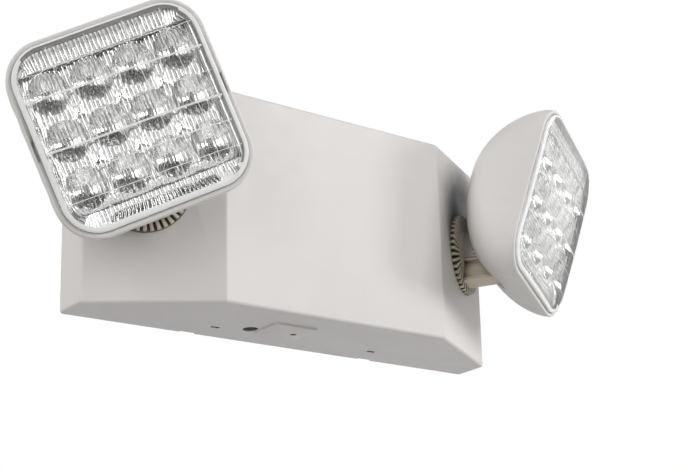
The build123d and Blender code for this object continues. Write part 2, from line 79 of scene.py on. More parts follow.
# Moulded thermoplastic: slight cloudy tone, a fine spark-eroded grain and softened edges, so that
# broad faces look even and edges catch a thin light. The grain is coarser than a real one, so that it
# shows. An optional painted shade colour, mixed in by ambient occlusion, darkens deep corners and gaps.
def mouldedPlastic(name, colour, shade, cloudMm=38.0, grainMm=0.35, grainDepth=0.02, glossMm=9.0,
                   roughness=0.42, edgeMm=0.5, glow=0.0, paintedShade=None, paintedShadeMm=6.0, paintedShadeRange=(0.25, 0.75)):
    material, tree, position = newMaterial(name)
    cloud = addNode(tree, "ShaderNodeTexNoise", inputs={
        "Vector": position, "Scale": 1000.0 / cloudMm, "Detail": 2.0})
    tone = addNode(tree, "ShaderNodeMapRange", inputs={
        "Value": cloud.outputs["Fac"], "From Min": 0.35, "From Max": 0.65})
    base = addNode(tree, "ShaderNodeMix", {"data_type": "RGBA"}, {
        0: tone.outputs[0], 6: srgb(colour), 7: srgb(shade)}).outputs[2]
    # Painted shade: ambient occlusion mixes the given dark colour into corners and gaps near other parts
    if paintedShade:
        openness = addNode(tree, "ShaderNodeAmbientOcclusion", {"samples": 8, "only_local": False}, {
            "Distance": paintedShadeMm * mm})
        inPaintedShade = addNode(tree, "ShaderNodeMapRange", inputs={
            "Value": openness.outputs["AO"], "From Min": paintedShadeRange[0], "From Max": paintedShadeRange[1],
            "To Min": 1.0, "To Max": 0.0})
        base = addNode(tree, "ShaderNodeMix", {"data_type": "RGBA"}, {
            0: inPaintedShade.outputs[0], 6: base, 7: srgb(paintedShade)}).outputs[2]
    grain = addNode(tree, "ShaderNodeTexNoise", inputs={
        "Vector": position, "Scale": 1000.0 / grainMm, "Detail": 4.0, "Roughness": 0.6})
    patches = addNode(tree, "ShaderNodeTexNoise", inputs={
        "Vector": position, "Scale": 1000.0 / glossMm, "Detail": 3.0})
    gloss = addNode(tree, "ShaderNodeMapRange", inputs={
        "Value": patches.outputs["Fac"], "From Min": 0.3, "From Max": 0.7,
        "To Min": roughness - 0.05, "To Max": roughness + 0.06})
    edge = addNode(tree, "ShaderNodeBevel", {"samples": 4}, {"Radius": edgeMm * mm})
    bump = addNode(tree, "ShaderNodeBump", inputs={
        "Strength": 0.5, "Distance": grainDepth * mm, "Height": grain.outputs["Fac"],
        "Normal": edge.outputs[0]})
    shader = addNode(tree, "ShaderNodeBsdfPrincipled", inputs={
        "Base Color": base,
        "Roughness": gloss.outputs[0],
        "IOR": 1.53,
        "Normal": bump.outputs[0],
        "Subsurface Weight": glow,
        "Subsurface Scale": 1.2 * mm,
        "Subsurface Radius": (1.0, 0.8, 0.6),
    })
    addNode(tree, "ShaderNodeOutputMaterial", inputs={"Surface": shader.outputs[0]})
    return material


# Metal with a fine grain and slightly uneven gloss, so that highlights break up a little
def metalFinish(name, colour, dark, roughness, cloudMm=7.0, grainMm=0.4, grainDepth=0.01,
                stretch=(1.0, 1.0, 1.0), edgeMm=0.2):
    material, tree, position = newMaterial(name)
    stretched = addNode(tree, "ShaderNodeMapping", inputs={"Vector": position, "Scale": stretch})
    grain = addNode(tree, "ShaderNodeTexNoise", inputs={
        "Vector": stretched.outputs[0], "Scale": 1000.0 / grainMm, "Detail": 3.0, "Roughness": 0.6})
    cloud = addNode(tree, "ShaderNodeTexNoise", inputs={
        "Vector": position, "Scale": 1000.0 / cloudMm, "Detail": 3.0})
    tone = addNode(tree, "ShaderNodeMapRange", inputs={
        "Value": cloud.outputs["Fac"], "From Min": 0.35, "From Max": 0.65})
    base = addNode(tree, "ShaderNodeMix", {"data_type": "RGBA"}, {
        0: tone.outputs[0], 6: srgb(colour), 7: srgb(dark)})
    gloss = addNode(tree, "ShaderNodeMapRange", inputs={
        "Value": cloud.outputs["Fac"], "From Min": 0.3, "From Max": 0.7,
        "To Min": roughness - 0.04, "To Max": roughness + 0.05})
    edge = addNode(tree, "ShaderNodeBevel", {"samples": 4}, {"Radius": edgeMm * mm})
    bump = addNode(tree, "ShaderNodeBump", inputs={
        "Strength": 0.4, "Distance": grainDepth * mm, "Height": grain.outputs["Fac"],
        "Normal": edge.outputs[0]})
    shader = addNode(tree, "ShaderNodeBsdfPrincipled", inputs={
        "Base Color": base.outputs[2],
        "Metallic": 1.0,
        "Roughness": gloss.outputs[0],
        "Normal": bump.outputs[0],
    })
    addNode(tree, "ShaderNodeOutputMaterial", inputs={"Surface": shader.outputs[0]})
    return material


# Vacuum metallised reflector: almost a mirror, softened by the moulding's orange peel
def metallisedPlastic(name, peelMm=2.2, peelDepth=0.03, hazeMm=12.0):
    material, tree, position = newMaterial(name)
    peel = addNode(tree, "ShaderNodeTexNoise", inputs={
        "Vector": position, "Scale": 1000.0 / peelMm, "Detail": 2.0})
    haze = addNode(tree, "ShaderNodeTexNoise", inputs={
        "Vector": position, "Scale": 1000.0 / hazeMm, "Detail": 3.0})
    gloss = addNode(tree, "ShaderNodeMapRange", inputs={
        "Value": haze.outputs["Fac"], "From Min": 0.3, "From Max": 0.7, "To Min": 0.06, "To Max": 0.11})
    bump = addNode(tree, "ShaderNodeBump", inputs={
        "Strength": 0.35, "Distance": peelDepth * mm, "Height": peel.outputs["Fac"]})
    shader = addNode(tree, "ShaderNodeBsdfPrincipled", inputs={
        "Base Color": srgb("#FAFAF9"),
        "Metallic": 1.0,
        "Roughness": gloss.outputs[0],
        "Normal": bump.outputs[0],
    })
    addNode(tree, "ShaderNodeOutputMaterial", inputs={"Surface": shader.outputs[0]})
    return material


# Clear moulded lens: acrylic with a trace of haze and ripple, so that it shows as a surface
def clearAcrylic(name, rippleMm=6.0, rippleDepth=0.05, hazeMm=14.0):
    material, tree, position = newMaterial(name)
    haze = addNode(tree, "ShaderNodeTexNoise", inputs={
        "Vector": position, "Scale": 1000.0 / hazeMm, "Detail": 3.0})
    gloss = addNode(tree, "ShaderNodeMapRange", inputs={
        "Value": haze.outputs["Fac"], "From Min": 0.3, "From Max": 0.7, "To Min": 0.02, "To Max": 0.05})
    ripple = addNode(tree, "ShaderNodeTexNoise", inputs={
        "Vector": position, "Scale": 1000.0 / rippleMm, "Detail": 2.0})
    bump = addNode(tree, "ShaderNodeBump", inputs={
        "Strength": 0.3, "Distance": rippleDepth * mm, "Height": ripple.outputs["Fac"]})
    shader = addNode(tree, "ShaderNodeBsdfPrincipled", inputs={
        "Base Color": srgb("#FFFFFF"),
        "Roughness": gloss.outputs[0],
        "IOR": 1.49,
        "Transmission Weight": 1.0,
        "Normal": bump.outputs[0],
    })
    addNode(tree, "ShaderNodeOutputMaterial", inputs={"Surface": shader.outputs[0]})
    return material


# Lens steps and border: the same acrylic left matt by the mould, so they scatter light and read white.
# The matt grain is coarser than a real one, so that it shows.
def mattAcrylic(name, grainMm=0.5, grainDepth=0.04):
    material, tree, position = newMaterial(name)
    grain = addNode(tree, "ShaderNodeTexNoise", inputs={
        "Vector": position, "Scale": 1000.0 / grainMm, "Detail": 3.0})
    gloss = addNode(tree, "ShaderNodeMapRange", inputs={
        "Value": grain.outputs["Fac"], "From Min": 0.3, "From Max": 0.7, "To Min": 0.3, "To Max": 0.42})
    bump = addNode(tree, "ShaderNodeBump", inputs={
        "Strength": 0.4, "Distance": grainDepth * mm, "Height": grain.outputs["Fac"]})
    shader = addNode(tree, "ShaderNodeBsdfPrincipled", inputs={
        "Base Color": srgb("#FCFCFB"),
        "Roughness": gloss.outputs[0],
        "IOR": 1.49,
        "Transmission Weight": 0.15,
        "Normal": bump.outputs[0],
    })
    addNode(tree, "ShaderNodeOutputMaterial", inputs={"Surface": shader.outputs[0]})
    return material


# Printed board: dark green solder mask over woven glass cloth, whose threads show as a faint ripple.
# They lie wider apart than real ones, so that they show; a wave at scale 1 repeats every 2 pi / 20.
def circuitLaminate(name, threadMm=0.98175, threadDepth=0.02, toneMm=4.0):
    material, tree, position = newMaterial(name)
    weave = addNode(tree, "ShaderNodeTexWave", {"wave_type": "BANDS"}, {
        "Vector": position, "Scale": 2 * math.pi / (20 * threadMm * mm)})
    cloud = addNode(tree, "ShaderNodeTexNoise", inputs={
        "Vector": position, "Scale": 1000.0 / toneMm, "Detail": 3.0})
    tone = addNode(tree, "ShaderNodeMapRange", inputs={
        "Value": cloud.outputs["Fac"], "From Min": 0.4, "From Max": 0.6})
    base = addNode(tree, "ShaderNodeMix", {"data_type": "RGBA"}, {
        0: tone.outputs[0], 6: srgb("#1F4A34"), 7: srgb("#2B5E42")})
    bump = addNode(tree, "ShaderNodeBump", inputs={
        "Strength": 0.2, "Distance": threadDepth * mm, "Height": weave.outputs["Fac"]})
    shader = addNode(tree, "ShaderNodeBsdfPrincipled", inputs={
        "Base Color": base.outputs[2], "Roughness": 0.38, "IOR": 1.55, "Normal": bump.outputs[0]})
    addNode(tree, "ShaderNodeOutputMaterial", inputs={"Surface": shader.outputs[0]})
    return material


materials = {
    # Warm white casing with a satin skin; painted shade darkens it where a head comes close to it
    "housing": mouldedPlastic("MouldedHousingPlastic", "#DBD7D5", "#D9D5D3", edgeMm=0.35,
                              paintedShade="#1E1915", paintedShadeMm=15.0, paintedShadeRange=(0.32, 0.66)),
    # The same plastic a trace lighter
    "head": mouldedPlastic("MouldedHeadPlastic", "#DDDAD8", "#DBD8D5", edgeMm=0.35),
    # Undyed nylon: creamy, a little see-through at its edges; painted shade darkens it brown between the ribs
    "arm": mouldedPlastic("MouldedNylon", "#D0C7B5", "#C8BEAA", grainMm=0.6, roughness=0.48, glow=0.1,
                          paintedShade="#4E4334"),
    # Dull dark grey of the button and the switch
    "dark": mouldedPlastic("MouldedSwitchPlastic", "#38383B", "#303033", roughness=0.5, edgeMm=0.3),
    # Glossy green film drawn tight over the cells
    "wrap": mouldedPlastic("BatteryShrinkWrap", "#3A7A45", "#326B3D", grainMm=1.5, roughness=0.25),
    # Glossy yellow polyester tape round the winding
    "tape": mouldedPlastic("WindingTape", "#C79C36", "#B98F2E", grainMm=0.8, roughness=0.3),
    # Near black shrunk sleeve with a soft sheen
    "sleeve": mouldedPlastic("CapacitorSleeve", "#26303A", "#1E2730", grainMm=0.8, roughness=0.3),
    # Plain green block
    "terminal": mouldedPlastic("MouldedTerminalPlastic", "#3C6A4B", "#345E42", roughness=0.45),
    # Red resin that lets light in, so that it looks deep
    "indicator": mouldedPlastic("CastIndicatorResin", "#A9342C", "#8F2A24", grainMm=1.0, roughness=0.2,
                                glow=0.4),
    # Glossy white package with a warm tinge
    "lampBody": mouldedPlastic("MouldedLampPackage", "#F2F1EA", "#E9E6CF", grainMm=0.3, roughness=0.25,
                               edgeMm=0.1, glow=0.3),
    # Light grey with a faint cloudy sheen
    "steel": metalFinish("ZincPlatedSteel", "#B6B8BA", "#A2A4A7", 0.34),
    # Darker steel with fine lines along the stack
    "core": metalFinish("StampedSteelCore", "#85888B", "#6F7275", 0.42, stretch=(1.0, 6.0, 1.0)),
    "mirror": metallisedPlastic("MetallisedReflector"),
    "clear": clearAcrylic("PolishedClearAcrylic"),
    "matt": mattAcrylic("MattMouldedAcrylic"),
    "board": circuitLaminate("SolderMaskBoard"),
}
nodeMaterials = {
    "front_cover": "housing", "back_plate": "housing", "battery_pack": "wrap", "battery_strap": "steel",
    "circuit_board": "board", "board_screws": "steel", "transformer_core": "core", "transformer_coil": "tape",
    "capacitors": "sleeve", "terminal_block": "terminal", "test_switch": "dark", "test_button": "dark",
    "indicator_lamp": "indicator", "swivel_arm": "arm", "hub_nut": "arm", "friction_washer": "steel",
    "pivot_pin": "steel", "head_shell": "head", "lens": "clear", "reflector": "mirror", "lamp_board": "board",
    "lamps": "lampBody", "lamp_screws": "steel",
}
print("materials made")


def plainName(name):
    return name.removeprefix("left_").removeprefix("right_")


for name, node in nodes.items():
    node.data.materials.clear()
    node.data.materials.append(materials[nodeMaterials[plainName(name)]])


# Smooth copies of the CAD forms: the same solid, welded, with soft shading over its curved faces

def smoothCopy(name, angle=28.0):
    source = nodes[name]
    mesh = source.data.copy()
    work = bmesh.new()
    work.from_mesh(mesh)
    bmesh.ops.remove_doubles(work, verts=work.verts, dist=1e-6)
    bmesh.ops.recalc_face_normals(work, faces=work.faces)
    work.to_mesh(mesh)
    work.free()
    mesh.shade_smooth()
    mesh.set_sharp_from_angle(angle=math.radians(angle))
    piece = bpy.data.objects.new(name + "_form", mesh)
    bpy.context.scene.collection.objects.link(piece)
    even = piece.modifiers.new("even", "WEIGHTED_NORMAL")
    even.keep_sharp = True
    bpy.context.view_layer.update()
    piece.data = bpy.data.meshes.new_from_object(piece.evaluated_get(bpy.context.evaluated_depsgraph_get()))
    piece.modifiers.clear()
    return piece


def bodyOf(name):
    for body, members in frame["record"]["behaviour"]["bodies"].items():
        if name in members:
            return body
    raise KeyError(name)


# Ties a piece to the body of the node that it stands for, and hides that node
def settle(piece, name):
    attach(piece, bodyOf(name))
    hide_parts(name)


smoothNodes = ["front_cover", "back_plate", "test_button"]
for side in ("left", "right"):
    smoothNodes += [f"{side}_{part}" for part in ("head_shell", "swivel_arm")]
for name in smoothNodes:
    settle(smoothCopy(name), name)
print("smooth forms made")


# Lamp heads: the frame of each head comes from its joints. Sizes in millimetres, the tilt that each
# head has in the photo in degrees.

headRest = {"left": 10.0, "right": 15.0}
head = {"half": 47.625, "corner": 19.5, "rimAhead": 13.5, "rise": 32.5}


def headMatrix(side):
    swivel = joints[f"{side}_swivel"]
    tilt = joints[f"{side}_tilt"]
    across = Vector(tilt["axis"]).normalized()
    back = -Vector(swivel["axis"]).normalized()
    up = across.cross(back).normalized()
    turn = Matrix((across, back, up)).transposed().to_4x4()
    place = Matrix.Translation(Vector(tilt["pos_m"]))
    nod = Matrix.Rotation(math.radians(headRest[side]), 4, "X")
    toRim = Matrix.Translation(Vector((0, -head["rimAhead"] * mm, head["rise"] * mm)))
    return place @ turn @ nod @ toRim


# A mesh piece from points in millimetres, placed by the matrix; the faces listed as second take material 2
def makePiece(name, vertices, faces, matrix, angle, second):
    mesh = bpy.data.meshes.new(name)
    mesh.from_pydata([matrix @ (Vector(v) * mm) for v in vertices], [], faces)
    mesh.update()
    for index in second:
        mesh.polygons[index].material_index = 1
    work = bmesh.new()
    work.from_mesh(mesh)
    bmesh.ops.remove_doubles(work, verts=work.verts, dist=1e-7)
    bmesh.ops.recalc_face_normals(work, faces=work.faces)
    work.to_mesh(mesh)
    work.free()
    mesh.shade_smooth()
    mesh.set_sharp_from_angle(angle=math.radians(angle))
    piece = bpy.data.objects.new(name, mesh)
    bpy.context.scene.collection.objects.link(piece)
    return piece


# Points of a rounded square, counter-clockwise, the same number for every size
def roundedSquare(half, corner, arcSteps, sideSteps):
    points = []
    for quarter in range(4):
        centreAngle = math.pi / 2 * quarter
        cx = (half - corner) * (1 if quarter in (0, 3) else -1)
        cz = (half - corner) * (1 if quarter in (0, 1) else -1)
        for k in range(arcSteps + 1):
            a = centreAngle + math.pi / 2 * k / arcSteps
            points.append((cx + corner * math.cos(a), cz + corner * math.sin(a)))
        ax, az = points[-1]
        nextAngle = centreAngle + math.pi / 2
        nx = (half - corner) * (1 if (quarter + 1) % 4 in (0, 3) else -1) + corner * math.cos(nextAngle)
        nz = (half - corner) * (1 if (quarter + 1) % 4 in (0, 1) else -1) + corner * math.sin(nextAngle)
        for k in range(1, sideSteps):
            points.append((ax + (nx - ax) * k / sideSteps, az + (nz - az) * k / sideSteps))
    return points


# Clear lens: pillowed outside with raised steps that bow a little, fine upright flutes on the inside

lens = {
    "inset": 2.55, "crown": 2.75, "sideCrown": 0.9, "back": 2.95, "flutePitch": 2.0, "fluteDepth": 0.33,
    "fluteSteps": 6, "bandPitch": 12.35, "bandHalves": (0.2, 0.24, 0.5, 0.16, 0.5, 0.2), "bandShift": 2.05,
    "bandRise": 0.6, "bandBow": 1.1, "rowStep": 2.2, "edge": 0.9, "plainEdge": 2.3, "seamFirst": -24.4,
    "seamPitch": 18.3, "seamCount": 4, "pillow": 0.08, "pillowPitch": 2.9, "border": 2.1,
    "edgeRows": (0.5, 1.0), "bandClear": 0.4, "edgeRound": 0.55, "stepsFrom": 3.0, "seatGap": 0.05,
    "pillowTurn": 2.4, "sharpAngle": 24.0,
}


def lensLevels(half):
    halves = lens["bandHalves"]
    bands = [(lens["bandShift"] + (k - (len(halves) - 1) / 2) * lens["bandPitch"], halves[k])
             for k in range(len(halves))]
    levels = [z + width * share for z, width in bands for share in (-1, -0.6, 0, 0.6, 1)]
    count = int(2 * half / lens["rowStep"])
    for k in range(count + 1):
        z = -half + 2 * half * k / count
        if min(abs(z - band) - width for band, width in bands) > lens["bandClear"]:
            levels.append(z)
    levels += [end * (half - row) for row in lens["edgeRows"] for end in (-1, 1)]
    return sorted(levels), bands


def makeLens(side, matrix):
    half = head["half"] - lens["inset"]
    corner = head["corner"] - lens["inset"]
    limit = half - corner
    levels, bands = lensLevels(half)
    flutes = int(2 * half / lens["flutePitch"])
    columns = flutes * lens["fluteSteps"]
    rows = len(levels) - 1
    seams = [lens["seamFirst"] + k * lens["seamPitch"] for k in range(lens["seamCount"])]
    columnWidth = 2 * half / columns

    # Bends the corners of the square grid to the rounded square
    def place(x, z):
        if abs(x) > limit and abs(z) > limit:
            dx, dz = abs(x) - limit, abs(z) - limit
            length = math.hypot(dx, dz)
            reach = max(dx, dz)
            x = math.copysign(limit + dx / length * reach, x)
            z = math.copysign(limit + dz / length * reach, z)
        return x, z

    def fromEdge(x, z):
        dx, dz = max(abs(x) - limit, 0), max(abs(z) - limit, 0)
        if dx > 0 and dz > 0:
            return corner - math.hypot(dx, dz)
        return min(half - abs(x), half - abs(z))

    front, back, faces = [], [], []
    for level in levels:
        onBand = max(width - abs(level - band) for band, width in bands)
        for i in range(columns + 1):
            across = 2 * i / columns - 1
            bow = lens["bandBow"] * across * abs(across) * (1 - (level / half) ** 4)
            x, z = place(across * half, level - bow)
            away = fromEdge(x, z)
            dish = (x / half) ** 2 * 0.5 + (z / half) ** 2 * 0.5
            y = -lens["sideCrown"] - (lens["crown"] - lens["sideCrown"]) * (1 - dish)
            y += max(0.0, lens["edge"] - away) ** 2 * lens["edgeRound"]
            if away > lens["stepsFrom"] and onBand > 0:
                y -= lens["bandRise"] * onBand
            front.append((x, y, z))
            phase = (i % lens["fluteSteps"]) / lens["fluteSteps"]
            flute = lens["fluteDepth"] * (1 - (2 * phase - 1) ** 2)
            turn = lens["pillowTurn"] * (i // lens["fluteSteps"]) + 2 * math.pi * z / lens["pillowPitch"]
            flute += lens["pillow"] * (1 + math.sin(turn))
            if away <= lens["plainEdge"]:
                flute = 0.0
            back.append((x, lens["back"] - lens["seatGap"] - flute, z))
    stride = columns + 1
    offset = len(front)
    matt = []
    for j in range(rows):
        middle = (levels[j] + levels[j + 1]) / 2
        onBand = min(abs(middle - band) - width for band, width in bands) < 0
        for i in range(columns):
            a = j * stride + i
            x = ((i + 0.5) / columns * 2 - 1) * half
            onSeam = min(abs(x - seam) for seam in seams) < columnWidth / 2
            away = fromEdge(front[a][0], front[a][2])
            if away < lens["border"] or (away > lens["stepsFrom"] and (onBand or onSeam)):
                matt.append(len(faces))
            faces.append((a, a + 1, a + stride + 1, a + stride))
            faces.append((offset + a, offset + a + stride, offset + a + stride + 1, offset + a + 1))
    border = list(range(stride)) + [j * stride + columns for j in range(1, rows + 1)]
    border += [rows * stride + i for i in range(columns - 1, -1, -1)]
    border += [j * stride for j in range(rows - 1, 0, -1)]
    for a, b in zip(border, border[1:] + border[:1]):
        matt.append(len(faces))
        faces.append((a, offset + a, offset + b, b))
    piece = makePiece(f"{side}_lens_fluted", front + back, faces, matrix, lens["sharpAngle"], matt)
    piece.data.materials.append(materials["clear"])
    piece.data.materials.append(materials["matt"])
    settle(piece, f"{side}_lens")


# A node tree that repeats the object's own mesh over an upright grid of points

def makeGridTree():
    tree = bpy.data.node_groups.new("RepeatOnGrid", "GeometryNodeTree")
    face = tree.interface
    face.new_socket("Geometry", in_out="INPUT", socket_type="NodeSocketGeometry")
    for name, kind in (("Columns", "NodeSocketInt"), ("Rows", "NodeSocketInt"),
                       ("Pitch X", "NodeSocketFloat"), ("Pitch Z", "NodeSocketFloat"),
                       ("Finish", "NodeSocketMaterial")):
        face.new_socket(name, in_out="INPUT", socket_type=kind)
    face.new_socket("Geometry", in_out="OUTPUT", socket_type="NodeSocketGeometry")
    given = addNode(tree, "NodeGroupInput").outputs
    sizes = []
    for count, pitch in (("Columns", "Pitch X"), ("Rows", "Pitch Z")):
        gaps = addNode(tree, "ShaderNodeMath", {"operation": "SUBTRACT"}, {0: given[count], 1: 1.0})
        sizes.append(addNode(tree, "ShaderNodeMath", {"operation": "MULTIPLY"}, {
            0: gaps.outputs[0], 1: given[pitch]}).outputs[0])
    grid = addNode(tree, "GeometryNodeMeshGrid", inputs={
        "Size X": sizes[0], "Size Y": sizes[1], "Vertices X": given["Columns"], "Vertices Y": given["Rows"]})
    upright = addNode(tree, "GeometryNodeTransform", inputs={
        "Geometry": grid.outputs[0], "Rotation": (math.pi / 2, 0, 0)})
    copies = addNode(tree, "GeometryNodeInstanceOnPoints", inputs={
        "Points": upright.outputs[0], "Instance": given["Geometry"]})
    solid = addNode(tree, "GeometryNodeRealizeInstances", inputs={0: copies.outputs[0]})
    finish = addNode(tree, "GeometryNodeSetMaterial", inputs={
        "Geometry": solid.outputs[0], "Material": given["Finish"]})
    addNode(tree, "NodeGroupOutput", inputs={0: finish.outputs[0]})
    return tree


gridTree = makeGridTree()


# The copies of one small mesh as a plain mesh, in the unit's own frame and in metres
def repeatOnGrid(name, vertices, faces, values, finish):
    mesh = bpy.data.meshes.new(name)
    mesh.from_pydata([Vector(v) * mm for v in vertices], [], faces)
    unit = bpy.data.objects.new(name, mesh)
    bpy.context.scene.collection.objects.link(unit)
    modifier = unit.modifiers.new("repeat", "NODES")
    modifier.node_group = gridTree
    given = {"Columns": values["columns"], "Rows": values["rows"], "Pitch X": values["pitchX"] * mm,
             "Pitch Z": values["pitchZ"] * mm, "Finish": finish}
    for item in gridTree.interface.items_tree:
        if item.in_out == "INPUT" and item.name in given:
            modifier[item.identifier] = given[item.name]
    bpy.context.view_layer.update()
    result = bpy.data.meshes.new_from_object(unit.evaluated_get(bpy.context.evaluated_depsgraph_get()))
    bpy.data.objects.remove(unit)
    return result


# Reflector: a metallised plate of shallow dishes, each with a short throat for its lamp

cups = {
    "columns": 4, "rows": 3, "pitchX": 20.4, "pitchZ": 22.9, "radius": 9.9, "foot": 2.4, "dish": 4.6,
    "depth": 7.8, "front": 4.7, "around": 72, "rings": 14, "bowl": 0.62, "wall": 0.6,
    "sharpAngle": 35.0,
}
flange = {
    "half": 43.8, "corner": 15.7, "arcSteps": 20, "sideSteps": 112, "steps": 14, "slotEvery": 4,
    "slotWide": 2, "slotStart": 0.35, "slotEnd": 0.75,
}


def cupUnit():
    vertices, faces = [], []
    halfX, halfZ = cups["pitchX"] / 2, cups["pitchZ"] / 2
    levels = [(cups["foot"], cups["front"] + cups["depth"]), (cups["foot"], cups["front"] + cups["dish"])]
    for ring in range(1, cups["rings"] + 1):
        share = ring / cups["rings"]
        r = cups["foot"] + (cups["radius"] - cups["foot"]) * share
        fall = cups["bowl"] * (1 - share) + (1 - cups["bowl"]) * (1 - share ** 2)
        levels.append((r, cups["front"] + cups["dish"] * fall))
    count = cups["around"]
    for r, y in levels:
        for k in range(count):
            a = 2 * math.pi * k / count
            vertices.append((r * math.cos(a), y, r * math.sin(a)))
    for k in range(count):
        a = 2 * math.pi * k / count
        reach = min(halfX / max(abs(math.cos(a)), 1e-9), halfZ / max(abs(math.sin(a)), 1e-9))
        vertices.append((reach * math.cos(a), cups["front"], reach * math.sin(a)))
    for ring in range(len(levels)):
        for k in range(count):
            a, n = ring * count, (k + 1) % count
            faces.append((a + k, a + n, a + count + n, a + count + k))
    return vertices, faces


# Flange round the field of cups, out to the rounded outline, with short narrow slots below the last row
def flangeUnit():
    vertices, faces = [], []
    fieldX, fieldZ = cups["columns"] * cups["pitchX"] / 2, cups["rows"] * cups["pitchZ"] / 2
    outline = roundedSquare(flange["half"], flange["corner"], flange["arcSteps"], flange["sideSteps"])
    steps = flange["steps"]
    for ring in range(steps + 1):
        share = ring / steps
        for x, z in outline:
            scale = min(fieldX / max(abs(x), 1e-9), fieldZ / max(abs(z), 1e-9), 1.0)
            px, pz = x * (scale + (1 - scale) * share), z * (scale + (1 - scale) * share)
            vertices.append((px, cups["front"], pz))
    count = len(outline)
    for ring in range(steps):
        onSlot = flange["slotStart"] < (ring + 0.5) / steps < flange["slotEnd"]
        for k in range(count):
            a, n = ring * count, (k + 1) % count
            onStraight = outline[k][1] < -fieldZ and abs(outline[k][0]) < flange["half"] - flange["corner"]
            if onSlot and onStraight and k % flange["slotEvery"] < flange["slotWide"]:
                continue
            faces.append((a + k, a + n, a + count + n, a + count + k))
    return vertices, faces


def makeReflector(side, matrix):
    field = repeatOnGrid("cup", *cupUnit(), cups, materials["mirror"])
    work = bmesh.new()
    work.from_mesh(field)
    bpy.data.meshes.remove(field)
    vertices, faces = flangeUnit()
    added = [work.verts.new(Vector(v) * mm) for v in vertices]
    for face in faces:
        work.faces.new([added[k] for k in face])
    bmesh.ops.remove_doubles(work, verts=work.verts, dist=1e-6)
    bmesh.ops.recalc_face_normals(work, faces=work.faces)
    work.transform(matrix)
    mesh = bpy.data.meshes.new(f"{side}_reflector_cups")
    work.to_mesh(mesh)
    work.free()
    mesh.shade_smooth()
    mesh.set_sharp_from_angle(angle=math.radians(cups["sharpAngle"]))
    mesh.materials.append(materials["mirror"])
    piece = bpy.data.objects.new(mesh.name, mesh)
    bpy.context.scene.collection.objects.link(piece)
    solid = piece.modifiers.new("wall", "SOLIDIFY")
    solid.thickness = cups["wall"] * mm
    solid.offset = 1.0
    settle(piece, f"{side}_reflector")


for side in ("left", "right"):
    matrix = headMatrix(side)
    makeLens(side, matrix)
    makeReflector(side, matrix)
print("lenses and reflectors made")


# Stage: pale floor, white surround for the camera, soft studio light

studio = {
    "floorHalf": 3.0, "floorHeight": -0.42, "floorCloudMm": 90.0,
    "ambient": 0.35,
    "ceiling": (-0.2, -0.3, 0.93),
    "mirrorRamp": [(0.0, 0.86), (0.72, 0.89), (0.76, 0.25), (0.81, 0.01), (1.0, 0.005)],
    "cards": 5.0, "cardsDetail": 2.0, "cardsFade": (0.4, 0.54), "cardsDark": 0.28,
    "rightFade": (0.3, 0.9), "rightSide": 1.7,
    "poolStart": 0.1, "poolRadius": 0.75, "poolShade": 0.35,
}


def makeFloor():
    mesh = bpy.data.meshes.new("floor")
    size, z = studio["floorHalf"], studio["floorHeight"]
    corners = [(-size, -size, z), (size, -size, z), (size, size, z), (-size, size, z)]
    mesh.from_pydata(corners, [], [(0, 1, 2, 3)])
    floor = bpy.data.objects.new("floor", mesh)
    bpy.context.scene.collection.objects.link(floor)
    # Matt grey paint, a little cloudy
    material, tree, position = newMaterial("MattPaintedFloor")
    cloud = addNode(tree, "ShaderNodeTexNoise", inputs={
        "Vector": position, "Scale": 1000.0 / studio["floorCloudMm"], "Detail": 2.0})
    base = addNode(tree, "ShaderNodeMix", {"data_type": "RGBA"}, {
        0: cloud.outputs["Fac"], 6: srgb("#C6C6C5"), 7: srgb("#C2C2C1")})
    shader = addNode(tree, "ShaderNodeBsdfPrincipled", inputs={
        "Base Color": base.outputs[2], "Roughness": 0.7})
    # The camera sees a soft pool of shade that fades to white, and looks through the floor from below
    flat = addNode(tree, "ShaderNodeVectorMath", {"operation": "MULTIPLY"}, {0: position, 1: (1.0, 1.0, 0.0)})
    radius = addNode(tree, "ShaderNodeVectorMath", {"operation": "LENGTH"}, {0: flat.outputs[0]})
    pool = addNode(tree, "ShaderNodeMapRange", inputs={
        "Value": radius.outputs["Value"], "From Min": studio["poolStart"], "From Max": studio["poolRadius"],
        "To Min": studio["poolShade"], "To Max": 0.0})
    white = addNode(tree, "ShaderNodeEmission", inputs={"Color": (1, 1, 1, 1), "Strength": 1.0})
    through = addNode(tree, "ShaderNodeBsdfTransparent")
    below = addNode(tree, "ShaderNodeNewGeometry").outputs["Backfacing"]
    faded = addNode(tree, "ShaderNodeMixShader", inputs={
        "Fac": pool.outputs[0], 1: white.outputs[0], 2: shader.outputs[0]})
    shown = addNode(tree, "ShaderNodeMixShader", inputs={
        "Fac": below, 1: faded.outputs[0], 2: through.outputs[0]})
    seen = addNode(tree, "ShaderNodeLightPath").outputs["Is Camera Ray"]
    mix = addNode(tree, "ShaderNodeMixShader", inputs={"Fac": seen, 1: shader.outputs[0], 2: shown.outputs[0]})
    addNode(tree, "ShaderNodeOutputMaterial", inputs={"Surface": mix.outputs[0]})
    mesh.materials.append(material)
    floor.visible_glossy = False
    floor.visible_transmission = False


